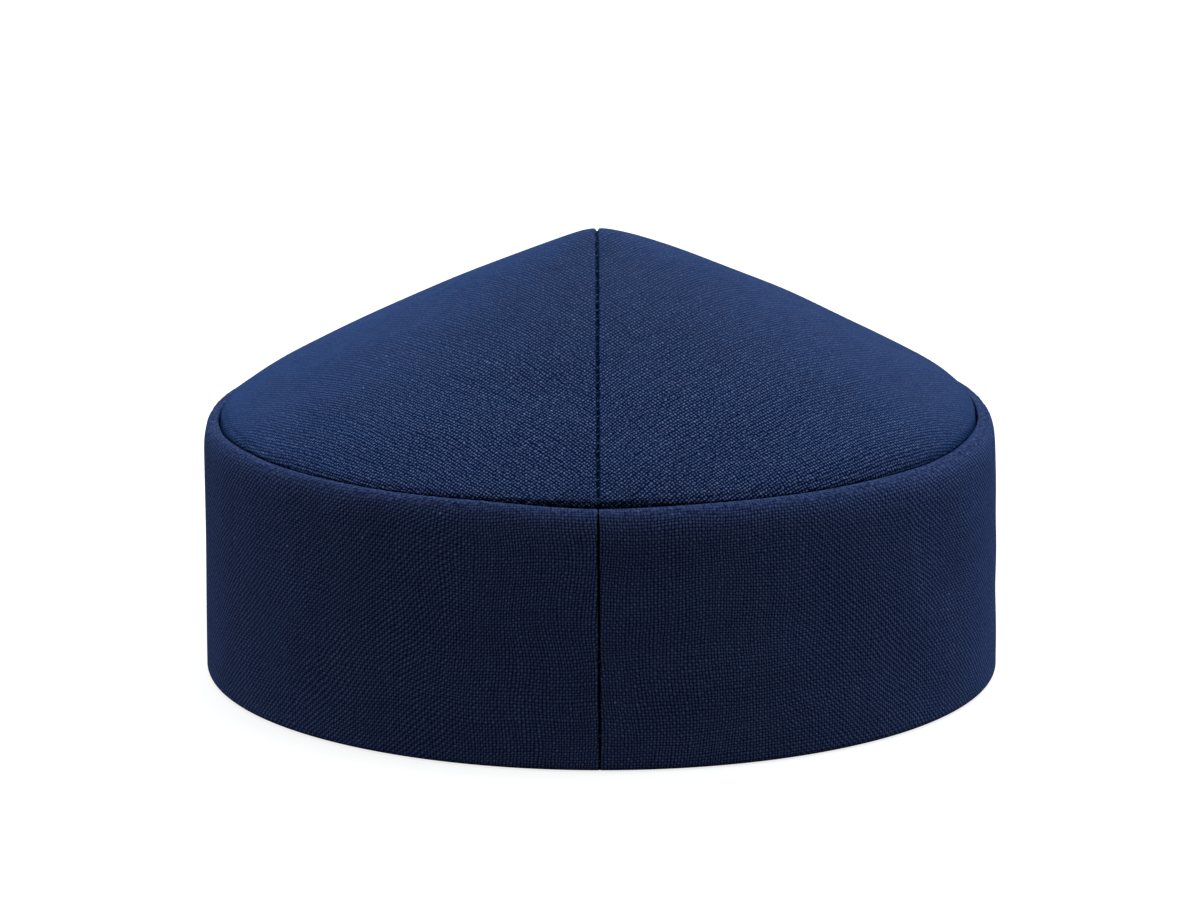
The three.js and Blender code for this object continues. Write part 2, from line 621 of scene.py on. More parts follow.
def new_material(name: str) -> tuple[bpy.types.Material, Graph]:
    """Starts a material.

    Args:
        name: The material's name.

    Returns:
        The material and its empty graph.
    """
    made = bpy.data.materials.new(name)
    made.use_nodes = True
    return made, Graph(made.node_tree)


class Vary(NamedTuple):
    """How often a cloth's noise changes, to a thread, and how strongly it shows."""

    rate: float
    reach: float


class Pattern(IntEnum):
    """What is random in a cloth. One for both ways of the cloth takes its number and the next."""

    WANDER = 0
    SLUB = 2
    TINT = 4
    CROSSING = 6
    FLUFF = 7
    CAST = 8
    PATCHES = 9
    JOSTLE = 10
    DRIFT = 12
    FRAY = 14
    BLOTCHES = 15


@dataclass(frozen=True)
class WovenCloth:
    """Plain-woven cloth, one thread over and one under.

    Attributes:
        name: The material's name.
        colour: The dye on the tops of the threads, made paler as a painted highlight.
        other_colour: The dye where it has taken a little differently, with that painted highlight.
        gap_shade_colour: The painted shade in the gaps between the threads, where the cloth looks
            deepest.
        pitch: Spacing of the threads, across and along the cloth.
        seed: Moves every random pattern.
        rise: How far the two sets of threads climb and dip, as a share of their height.
        relief: The height of the threads' tops above the gaps between them.
        clear: The height at which a thread starts to show above the gaps' painted shade.
        wander: How far threads stray from their places over many crossings, in threads.
        wander_rates: How often they do, across them and along them.
        drift: How whole groups of threads stray over a hand's breadth.
        jostle: How each is pushed aside from crossing to crossing.
        slub: How a thread's width varies along it.
        tint: How much lighter or darker one thread is than the next.
        uneven: How much lighter or darker one crossing is than the next.
        glints: How seldom a crossing gets a painted glint, from 0 to 1, and how strongly.
        twist: How strongly the threads' twist shows as diagonal lines.
        slant: How far the weave gives way to slanting lines where its threads lean.
        ridges: How far those lines rise and fall, and how high they lie.
        fluff: Loose fibres over the threads.
        cast: How the two dyes lie in patches.
        patches: How the cloth is lighter and darker from place to place.
        fray: How uneven the shadow's edge is in a seam.
        shadow: How deep in a seam the shadow starts, and where it is full.
        sheen_and_wear_tone: How light the cloth is where painted sheen and abrasion even its weave.
        blotches: How mottled it is there.
        sheen: How strongly loose fibres catch grazing light.
        sheen_tint: The colour that they catch it in.
    """

    name: str
    colour: Colour
    other_colour: Colour
    gap_shade_colour: Colour
    pitch: tuple[float, float]
    seed: float
    rise: tuple[float, float] = (0.52, 0.38)
    relief: float = 0.22 * MM
    clear: float = 0.65
    wander: float = 0.6
    wander_rates: tuple[float, float] = (0.3, 0.07)
    drift: Vary = Vary(0.035, 3.5)
    jostle: Vary = Vary(0.8, 0.8)
    slub: Vary = Vary(0.22, 0.25)
    tint: float = 0.1
    uneven: float = 0.3
    glints: tuple[float, float] = (0.999, 0.8)
    twist: float = 0.1
    slant: float = 0.29
    ridges: tuple[float, float] = (0.45, 0.62)
    fluff: Vary = Vary(5, 0.2)
    cast: Vary = Vary(0.13, 0.15)
    patches: Vary = Vary(0.03, 0.1)
    fray: Vary = Vary(0.9, 0.9)
    shadow: tuple[float, float] = (0.1 * MM, 0.8 * MM)
    sheen_and_wear_tone: float = 0.37
    blotches: Vary = Vary(0.2, 0.5)
    sheen: float = 0.3
    sheen_tint: Colour = (0.01, 0.22, 0.9, 1)

    def build(self) -> bpy.types.Material:
        """Makes the material.

        Returns:
            The material, which reads the cloth map and its piece's painted shade, sheen and lean.
        """
        material, graph = new_material(self.name)
        across, along, _ = graph.parts(graph.node("ShaderNodeUVMap", uv_map=CLOTH_MAP))
        across, along = across / self.pitch[0], along / self.pitch[1]
        shade_and_wear_node = graph.node("ShaderNodeAttribute", attribute_name=SHADE_AND_WEAR_ATTRIBUTE)
        painted_shade_depth, sheen_and_wear, leaning = graph.parts(shade_and_wear_node.outputs["Vector"])

        def noise(vary: Vary, pattern: Pattern, detail: int = 1) -> Signal:
            """Noise over the cloth, from 0 to 1."""
            x, y = across * vary.rate, along * vary.rate
            return graph.noise(x, y, self.seed + pattern, detail)

        height, tone = self._weave(graph, across, along, leaning)
        height = height + noise(self.fluff, Pattern.FLUFF) * self.fluff.reach
        cast = noise(self.cast, Pattern.CAST).ease(0.5 - self.cast.reach, 0.5 + self.cast.reach)
        dye = graph.mixed(cast, self.colour, self.other_colour)
        patches = noise(self.patches, Pattern.PATCHES).about_one(self.patches.reach)
        frayed = noise(self.fray, Pattern.FRAY, detail=2).about_one(self.fray.reach)
        mottle = noise(self.blotches, Pattern.BLOTCHES, detail=2).about_one(self.blotches.reach)
        # Painted sheen on the crown, abrasion on the lip: the weave gives way to one mottled tone.
        tone = sheen_and_wear.between(tone, mottle.at_least(0.0) * self.sheen_and_wear_tone)
        # Thread tops in the dye and its painted highlight, with painted shade added in the gaps.
        threads = {0: graph.scaled(dye, tone), 1: self.gap_shade_colour[:3]}
        both = graph.node("ShaderNodeVectorMath", threads, operation="ADD")
        values = {
            "Base Color": graph.scaled(both, patches),
            "Roughness": 0.92,
            "Specular IOR Level": 0.03,
            "Sheen Weight": self.sheen,
            "Sheen Roughness": 0.45,
            "Sheen Tint": self.sheen_tint,
            "Normal": graph.node("ShaderNodeBump", {"Distance": self.relief, "Height": height}),
        }
        open_cloth = graph.node("ShaderNodeBsdfPrincipled", values)
        # Painted shadow: cloth with painted shade mixes into near-black in seams, groove and
        # throat.
        values = {"Base Color": SEAM_SHADOW, "Roughness": 1.0, "Specular IOR Level": 0.0}
        deep = graph.node("ShaderNodeBsdfPrincipled", values)
        sunk = (painted_shade_depth * frayed).ease(*self.shadow)
        graph.finish(graph.node("ShaderNodeMixShader", {0: sunk, 1: open_cloth, 2: deep}))
        return material

    def _weave(
        self, graph: Graph, across: Signal, along: Signal, leaning: Signal
    ) -> tuple[Signal, Signal]:
        """Lays out the threads.

        Args:
            graph: The graph to write in.
            across: Place across the cloth, in threads.
            along: Place along the cloth, in threads.
            leaning: How far the threads lean, from 0 to 1.

        Returns:
            The cloth's height from 0 to 1, and its tone, painted dark in the gaps as shade.
        """

        def stray(rates: tuple[float, float], pattern: int, reach: float) -> Signal:
            """How far noise moves the threads."""
            noise = graph.noise(across * rates[0], along * rates[1], self.seed + pattern)
            return (noise - 0.5) * reach

        def moved(vary: Vary, pattern: Pattern) -> tuple[Signal, Signal]:
            """The place across and along, moved alike by noise."""
            push, pull = (stray((vary.rate,) * 2, pattern + way, vary.reach) for way in (0, 1))
            return across + push, along + pull

        across, along = moved(self.drift, Pattern.DRIFT)
        across = across + stray(self.wander_rates, Pattern.WANDER, self.wander)
        along = along + stray(self.wander_rates[::-1], Pattern.WANDER + 1, self.wander)
        across, along = moved(self.jostle, Pattern.JOSTLE)
        warp, warp_height, warp_tint = self._threads(graph, across, along, 0)
        weft, weft_height, weft_tint = self._threads(graph, along, across, 1)
        lines = ((across + along) * math.pi).cosine()
        height = warp_height.at_least(weft_height)
        height = (leaning * self.slant).between(height, lines * self.ridges[0] + self.ridges[1])
        tint = (warp_height > weft_height).between(weft_tint, warp_tint)
        cross = graph.chance(warp, weft, self.seed + Pattern.CROSSING)
        # Painted shade: the tone falls to nothing in the gaps between the threads.
        tone = height.ease(self.clear, 1.0) * tint.about_one(self.tint)
        tone = tone * (lines * self.twist + 1) * cross.about_one(self.uneven)
        # Painted glint: a rare crossing is painted lighter.
        return height, tone * ((cross > self.glints[0]) * self.glints[1] + 1)

    def _threads(
        self, graph: Graph, place: Signal, run: Signal, order: int
    ) -> tuple[Signal, Signal, Signal]:
        """Lays out one set of threads.

        Args:
            graph: The graph to write in.
            place: Place across the threads.
            run: Place along them.
            order: 0 for the warp, and 1 for the weft, which dips where the warp climbs.

        Returns:
            Each thread's number, its height, and the chance that picks its tint.
        """
        number = (place + 0.5).floor()
        width = graph.noise(
            number * THREAD_STRIDE, run * self.slub.rate, self.seed + Pattern.SLUB + order
        ).about_one(self.slub.reach)
        share = (place - number) * 2 / width
        top = (1 - share * share).at_least(0.0).root()
        climb = ((run + number + order) * math.pi).cosine().between(1 - self.rise[order], 1)
        return number, top * climb, graph.chance(number, 0.0, self.seed + Pattern.TINT + order)


@dataclass(frozen=True)
class SewingThread:
    """Twisted sewing thread, a little paler than the cloth.

    Attributes:
        name: The material's name.
        colour: The thread's dye.
        twist: How many plies show in a metre.
        relief: How high they stand.
    """

    name: str
    colour: Colour
    twist: float = 9000.0
    relief: float = 0.05 * MM

    def build(self) -> bpy.types.Material:
        """Makes the material.

        Returns:
            The material, which reads Object coordinates.
        """
        material, graph = new_material(self.name)
        x, y, z = graph.parts(graph.node("ShaderNodeTexCoord").outputs["Object"])
        ply = ((x + y * 0.7 + z * 0.7) * self.twist).cosine().between(0.5, 1.0)
        values = {
            "Base Color": graph.scaled(self.colour, ply.between(0.7, 1.1)),
            "Roughness": 0.7,
            "Normal": graph.node("ShaderNodeBump", {"Distance": self.relief, "Height": ply}),
        }
        graph.finish(graph.node("ShaderNodeBsdfPrincipled", values))
        return material


@dataclass
class Band:
    """The upright band: a strip of doubled cloth, folded at the rim and rounded over at the lip.

    Attributes:
        standing: Where the hat stands.
        roll: How the cloth turns in at the seams.
        finish: The band's cloth.
        shift: How far the face stands out on the right, and in on the left.
        shoulders: Where the lip starts to round over, on the left and on the right.
        insets: How far inside the face its crest lies, on the left and on the right.
        lip_fullness: 1 for a lip that is an ellipse, and less for a fuller one.
        lip_cut, inner_cut, rim_cut: How much of a seam's roll shows at each.
        lip_shade, throat_shade, side_shade: How much painted shade each place gets.
        lean_from, lean_shift, lean_width: Where the threads lean, round from the seams.
    """

    standing: Standing
    roll: SeamRoll
    finish: WovenCloth
    wall: float = 3 * MM
    shift: float = 0.4 * MM
    rim_fold: float = 1.4 * MM
    rim_inner_fold: float = 0.6 * MM
    throat_radius: float = 91.1 * MM
    throat_depth: float = 8 * MM
    throat_taper: float = 3 * MM
    throat_gap: float = 0.5 * MM
    shoulders: tuple[float, float] = (54 * MM, 51 * MM)
    insets: tuple[float, float] = (3.4 * MM, 3.5 * MM)
    lip_fullness: float = 0.68
    lip_cut: float = 0.3
    inner_cut: float = 0.15
    rim_cut: float = 0.1
    seam_shade: float = 1.6
    least_shade: float = 0.6
    lip_shade: float = 0.32 * MM
    throat_shade: float = 0.8 * MM
    side_shade: float = 0.5 * MM
    below_crest: Ease = Ease(0, 3.5)
    above_rim: Ease = Ease(0.2, 2.4)
    on_crest: Ease = Ease(1.8, 0.4)
    in_groove: Ease = Ease(0.05, 0.8)
    waves: Ripples = Ripples(0.1 * MM, 22 * MM, 5)
    waves_up: Ease = Ease(1.5, 8)
    waves_round: Ease = Ease(0, 5)
    fuzz: Ripples = Ripples(0.06 * MM, 2.3 * MM, 41, 30)
    fuzz_down: Ease = Ease(3.5, 1)
    fuzz_round: Ease = Ease(0, 3)
    lip_rubbed: float = 0.65
    rubbed_down: Ease = Ease(3, 0.6)
    lean_from: float = 20 * MM
    lean_shift: float = 8 * MM
    lean_width: float = 38 * MM
    columns: int = 150
    inner_points: int = 22
    face_points: int = 34
    lip_points: int = 27
    fold_points: int = 9
    folded_width: float = 66 * MM

    def outline(self, half: Half, angle: float) -> tuple[np.ndarray, np.ndarray, np.ndarray]:
        """The band's cross-section at one angle round from the front.

        It starts in the throat behind the lip, runs down inside, under the rim, up the face and
        over the lip, and ends where it began.

        Args:
            half: Which half.
            angle: The angle in radians.

        Returns:
            Points of radius and height, and for each how deeply a seam may cut it, from 0 to 1,
            and how much painted shade it gets in the throat behind the lip and on the lip's crest.
        """
        side = math.sin(angle)
        crest = float(self.standing.lip.crest(half, angle))
        shoulder = self._at_side(self.shoulders, half, side)
        crest_radius = self.standing.radius - self._at_side(self.insets, half, side)
        face = self.standing.radius + self.shift * half.value * side
        inner = face - self.wall
        fold = crest_radius - self.throat_radius
        throat = (self.throat_radius, crest - self.throat_depth / 2)
        throat_end = (self.throat_radius, crest - self.throat_depth)
        inner_top = (inner, crest - self.throat_depth - self.throat_taper)
        inner_foot = (inner + self.rim_inner_fold, self.rim_inner_fold)
        rim = (face - self.rim_fold, self.rim_fold)
        points = [throat, *line_points(throat, throat_end, 1), throat_end, inner_top]
        points += line_points(inner_top, (inner, inner_foot[1]), self.inner_points)
        points += arc_points(inner_foot, self.rim_inner_fold, self.rim_inner_fold, 180, 270, 5)
        inside = len(points)
        points += line_points((inner_foot[0], 0), (rim[0], 0), 1)
        points += arc_points(rim, self.rim_fold, self.rim_fold, -90, 0, self.fold_points)
        points += line_points((face, self.rim_fold), (face, shoulder), self.face_points)
        rounding = (face - crest_radius, crest - shoulder, 0, 90, self.lip_points)
        points += arc_points((crest_radius, shoulder), *rounding, self.lip_fullness)
        behind = arc_points((crest_radius, crest - fold), fold, fold, 90, 180, self.fold_points)
        points += behind[1:]
        points += line_points((self.throat_radius, crest - fold), throat, 2)
        outline = np.array(points)
        radii, heights = outline.T
        below = crest - heights
        outer = np.arange(len(points)) >= inside
        cut = np.where(outer, mix(self.lip_cut, 1, self.below_crest.at(below)), self.inner_cut)
        cut *= mix(self.rim_cut, 1, self.above_rim.at(heights))
        # Painted shade: the lip's crest is darkened, and the throat behind it, less at the sides.
        lip = np.where(outer, self.lip_shade * self.on_crest.at(below), 0)
        dark = mix(self.throat_shade, self.side_shade, smooth_step(SIDE_FROM, 1, side))
        in_throat = (radii < crest_radius) & (below < self.throat_depth)
        groove = np.where(in_throat, dark * self.in_groove.at(below), 0)
        return outline, cut, np.maximum(groove, lip)

    def build(self, half: Half) -> bpy.types.Object:
        """Makes one half of the band.

        Args:
            half: Which half.

        Returns:
            The piece.
        """
        radius = self.standing.radius
        angles = self.roll.angles(self.columns, radius, np.array([radius]))[0]
        sections = zip(*(self.outline(half, angle) for angle in angles))
        outlines, cuts, throat_and_lip_shades = (np.array(part) for part in sections)
        radii, heights = outlines[..., 0], outlines[..., 1]
        normals = -np.array([outline_normals(r, z, closed=True) for r, z in zip(radii, heights)])
        run = run_lengths(radii, heights)
        around = np.repeat((angles * radius)[:, None], radii.shape[1], axis=1)
        rolled = self.roll.depth(radius * np.sin(angles))[:, None]
        below = self.standing.lip.crest(half, angles)[:, None] - heights
        uneven = self.waves.at(half, around, heights)
        uneven *= self.waves_up.at(heights) * self.waves_round.at(around)
        felted = self.fuzz.at(half, around, run)
        felted *= self.fuzz_down.at(below) * self.fuzz_round.at(around)
        raised = felted * (radii > self.throat_radius + self.throat_gap) - cuts * rolled
        radii = radii + (uneven + raised) * normals[..., 0]
        heights = heights + raised * normals[..., 1]
        sines, cosines = np.sin(angles)[:, None], np.cos(angles)[:, None]
        points = self.standing.place(half, radii * sines, -radii * cosines, heights)
        cloth = np.stack([around, run], axis=-1) + half.cut_from
        # Painted shade along the seams, from how deep their roll lies.
        seam = np.maximum(cuts, self.least_shade) * rolled * self.seam_shade
        lean_from = self.lean_from + self.lean_shift * half.value
        away = np.minimum(around, math.pi * radius - around)
        leaning = smooth_step(lean_from, lean_from + self.lean_width, away)
        sheen_and_wear = self.lip_rubbed * self.rubbed_down.at(below)
        made = ClothMesh(f"band_cloth_{half.word}")
        numbers = made.add_points(points, cloth, np.maximum(seam, throat_and_lip_shades), sheen_and_wear, leaning)
        made.add_quads(np.concatenate([numbers, numbers[:, :1]], axis=1))
        made.faces.append(tuple(int(n) for n in numbers[0]))
        made.faces.append(tuple(int(n) for n in numbers[-1][::-1]))
        return made.finish()

    def dress(self, piece: bpy.types.Object, half: Half, material: bpy.types.Material) -> None:
        """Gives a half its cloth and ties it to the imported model.

        Args:
            piece: The half.
            half: Which half it is.
            material: The band's cloth.
        """
        piece.data.materials.append(material)
        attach(piece, BODY)
        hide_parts(f"band_{half.word}")

    @staticmethod
    def _at_side(sizes: tuple[float, float], half: Half, side: float) -> float:
        """A left and a right size on one half: its own at its side, their mean at the seams."""
        return mix(sum(sizes) / 2, sizes[half is Half.RIGHT], side)


@dataclass
class Crown:
    """The pointed crown, sewn from two half cones of cloth, its margin tucked inside the band.

    Attributes:
        standing: Where the hat stands.
        slope: The crown's slope from its point to the groove.
        roll: How the cloth turns in at the seams.
        finish: The crown's cloth.
        edge_fold, edge_turn: The radius and the steepness of the turn down into the groove.
        flat_share: The angle of the cut sector, as a share of a half turn.
        bias: How far the weave is turned from the front seam.
        allowance: How thick the sewn margins lie inside, beside the seams.
        tuck, crease: How far the cloth is drawn in, and how it is creased, at a seam's foot.
        foot_closing: How far the groove presses the seam shut.
        foot_reach, foot_spread: How much higher the painted shade reaches at the seams' feet.
        point_reach: How near the point its inside lies straight below its face.
        sheen_and_wear: How far a painted sheen evens the crown's weave, from side to side over its
            point.
    """

    standing: Standing
    slope: tuple[SlopeRow, ...]
    roll: SeamRoll
    finish: WovenCloth
    wall: float = 2 * MM
    radius: float = 90.5 * MM
    foot_radius: float = 91.28 * MM
    edge_fold: float = 2.4 * MM
    edge_turn: float = 60
    flat_share: float = 0.885
    bias: float = math.radians(45)
    allowance: float = 0.6 * MM
    allowance_round: Ease = Ease(8.5, 8)
    allowance_down: Ease = Ease(6, 10)
    tuck: float = 0.55 * MM
    tuck_reach: float = 11 * MM
    crease: float = 0.16 * MM
    crease_length: float = 3.4 * MM
    crease_phase: float = 0.9
    # The groove's painted shade: its reach, its darkness, and a softer shade up the far sides.
    groove_reach: float = 0.5 * MM
    groove_shade: float = 0.75 * MM
    side_groove_shade: float = 0.48 * MM
    flank_shade: float = 0.3 * MM
    flank_shade_down: Ease = Ease(7, 0)
    foot_fade: float = 3 * MM
    foot_depth: float = 0.1
    foot_closing: float = 0.75
    foot_down: Ease = Ease(2.8, 1.2)
    foot_reach: float = 3.3 * MM
    foot_spread: float = 20 * MM
    seam_shade: float = 0.5 * MM
    point_depth: float = 0.45
    point_down: Ease = Ease(2, 22)
    point_reach: float = 4 * MM
    least_ring: float = 0.15
    drawn: Ripples = Ripples(0.22, 3.2 * MM, 31)
    waves: Ripples = Ripples(0.12 * MM, 26 * MM, 11)
    waves_round: Ease = Ease(0, 6)
    above_edge: Ease = Ease(9, 1.5)
    sheen_and_wear: float = 0.62
    sheen_round: Ease = Ease(64, 8)
    point_rings: tuple[float, ...] = (0, 0.25, 0.5, 0.8, 1.2, 1.7, 2.3, 3.0)
    even_from: float = 4 * MM
    ring_step: float = 1.35 * MM
    fine_edge: float = 10 * MM
    fine_rings: int = 14
    turn_points: int = 10
    margin_points: int = 8
    columns: int = 84

    def outline(self) -> tuple[np.ndarray, np.ndarray, np.ndarray]:
        """The crown's face from its point to the foot of its margin.

        Returns:
            The radii, the heights, and how much higher each place stands on a full half.
        """
        steps = np.linspace(0, len(self.slope) - 1, 2000)
        columns = [spline(np.array(column) * MM, steps) for column in zip(*self.slope)]
        run = run_lengths(columns[0], columns[1])
        fine_from = run[-1] - self.fine_edge
        point = np.array(self.point_rings) * MM
        middle = np.arange(self.even_from, fine_from, self.ring_step)
        stations = np.concatenate([point, middle, np.linspace(fine_from, run[-1], self.fine_rings)])
        radii, heights, fuller = (np.interp(stations, run, column) for column in columns)
        centre = (self.radius - self.edge_fold, heights[-1] - self.edge_fold)
        turning = (self.edge_fold, self.edge_fold, self.edge_turn, 0, self.turn_points)
        turn = np.array(arc_points(centre, *turning))
        drop = np.linspace(0, 1, self.margin_points + 1)[1:]
        spread = mix(self.radius, self.foot_radius, smooth_step(0, 0.8, drop))
        margin = mix(turn[-1][1], self.standing.margin_foot, drop)
        return (
            np.concatenate([radii, turn[:, 0], spread]),
            np.concatenate([heights, turn[:, 1], margin]),
            np.concatenate([fuller, np.full(len(turn), fuller[-1]), fuller[-1] * (1 - drop)]),
        )

    def edge(self, heights: np.ndarray) -> float:
        """The height at which the outline turns down into the groove."""
        return heights[-(self.turn_points + self.margin_points) :].max()

    def build(self, half: Half) -> bpy.types.Object:
        """Makes one half of the crown.

        Args:
            half: Which half.

        Returns:
            The piece.
        """
        radii, heights, fuller = self.outline()
        normals = outline_normals(radii, heights, closed=False)
        run = run_lengths(radii, heights)
        angles = self.roll.angles(self.columns, self.radius, radii)
        sines, cosines = np.sin(angles), np.cos(angles)
        distance = radii[:, None] * sines
        face = heights[:, None] + fuller[:, None] * (half is Half.RIGHT) * sines
        turned = self.flat_share * angles + self.bias
        cloth = run[:, None, None] * np.stack([np.cos(turned), np.sin(turned)], axis=-1)
        cloth = cloth + half.cut_from
        edge = self.edge(heights)
        foot = smooth_step(self.standing.margin_foot, edge - self.foot_fade, heights)[:, None]
        above_crest = face - self.standing.lip.crest(half, angles)
        closing = 1 - self.foot_closing * self.foot_down.at(above_crest)
        near_point = mix(self.point_depth, 1, self.point_down.at(run))[:, None]
        drawn = 1 + self.drawn.at(half, run, np.zeros_like(run))[:, None]
        depth = self.roll.depth(distance * drawn) * np.maximum(foot, self.foot_depth)
        depth = depth * closing * near_point
        hold = self.above_edge.at(heights - edge)[:, None] * foot
        ways = (angles * self.radius, (math.pi - angles) * self.radius)
        pinch = sum(self._pinch(half, away, hold) for away in ways)
        uneven = self.waves.at(half, cloth[..., 0], cloth[..., 1])
        uneven *= self.waves_round.at(distance) * foot
        ridge = self.allowance * self.allowance_round.at(distance)
        ridge = ridge * self.allowance_down.at(run)[:, None]
        ease = (1 - np.exp(-((radii / self.point_reach) ** 2)))[:, None]
        least, place = self.least_ring * radii[:, None], self.standing.place

        def sunk(depths: np.ndarray, inwards: Numbers = 1.0) -> np.ndarray:
            """The points that lie below the face, with a share of their depth inwards."""
            ring = np.maximum(radii[:, None] - depths * normals[:, :1] * inwards, least)
            return place(half, ring * sines, -ring * cosines, face - depths * normals[:, 1:])

        made = ClothMesh(f"crown_cloth_{half.word}")
        # Painted shade along the seam, capped, and in the groove behind the lip.
        shade = np.minimum(depth, self.seam_shade)
        shade = np.maximum(shade, self._groove_shade(angles, above_crest))
        # Painted sheen: the weave evens into one mottled tone across the sides and over the point.
        sheen_and_wear = self.sheen_and_wear * self.sheen_round.at(np.abs(radii[:, None] * cosines))
        outer = self._add(made, sunk(depth + pinch - uneven), cloth, shade, sheen_and_wear)
        inner_points = sunk(self.wall + ridge + pinch - uneven, ease)
        inner = self._add(made, inner_points, cloth, np.zeros_like(depth), sheen_and_wear)
        made.add_quads(outer)
        made.add_quads(inner[:, ::-1])
        made.add_quads(np.stack([inner[:, 0], outer[:, 0]], axis=1))
        made.add_quads(np.stack([outer[:, -1], inner[:, -1]], axis=1))
        made.add_quads(np.stack([outer[-1], inner[-1]], axis=0))
        return made.finish()

    def _groove_shade(self, angles: np.ndarray, above_crest: np.ndarray) -> np.ndarray:
        """Painted shade in the groove behind the lip, widest at the seams' feet.

        Args:
            angles: Angles round from the front.
            above_crest: How far the face stands above the lip.

        Returns:
            The depths.
        """
        away = np.minimum(angles, math.pi - angles) * self.radius
        reach = self.groove_reach + self.foot_reach * np.exp(-((away / self.foot_spread) ** 2))
        side = smooth_step(SIDE_FROM, 1, np.sin(angles))
        deep = mix(self.groove_shade, self.side_groove_shade, side)
        flank_shadow = self.flank_shade * side * self.flank_shade_down.at(above_crest)
        return np.maximum(deep * smooth_step(reach, -self.groove_reach, above_crest), flank_shadow)

    def _pinch(self, half: Half, away: np.ndarray, hold: np.ndarray) -> np.ndarray:
        """How the cloth is drawn down and creased at a seam's foot.

        Args:
            half: Which half.
            away: Distances round from the seam.
            hold: How strongly each place is drawn, from 0 to 1.

        Returns:
            How far in the cloth is drawn.
        """
        hold = np.exp(-((away / self.tuck_reach) ** 2)) * hold
        turn = math.tau * away / self.crease_length + self.crease_phase * half.value
        return hold * (self.tuck + self.crease * np.cos(turn))

    @staticmethod
    def _add(made: ClothMesh, *grids: np.ndarray) -> np.ndarray:
        """Adds a grid whose first ring is a single point.

        Args:
            made: The mesh to add to.
            grids: The points, their places on the flat cloth, painted shade and painted sheen.

        Returns:
            The points' numbers.
        """
        point = made.add_points(*(grid[:1, :1] for grid in grids))
        rest = made.add_points(*(grid[1:] for grid in grids))
        return np.concatenate([np.repeat(point, rest.shape[1], axis=1), rest])

    def dress(
        self,
        piece: bpy.types.Object,
        half: Half,
        material: bpy.types.Material,
        rests_on: list[bpy.types.Object],
    ) -> None:
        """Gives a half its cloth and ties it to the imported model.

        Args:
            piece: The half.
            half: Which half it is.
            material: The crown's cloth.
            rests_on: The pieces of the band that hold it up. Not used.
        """
        piece.data.materials.append(material)
        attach(piece, BODY)
        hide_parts(f"crown_{half.word}")
        radii, heights, _ = self.outline()


class RunKind(Enum):
    """The runs of stitches."""

    CROWN_SEAM = "crown_seam_stitches"
    BAND_SEAM = "band_seam_stitches"


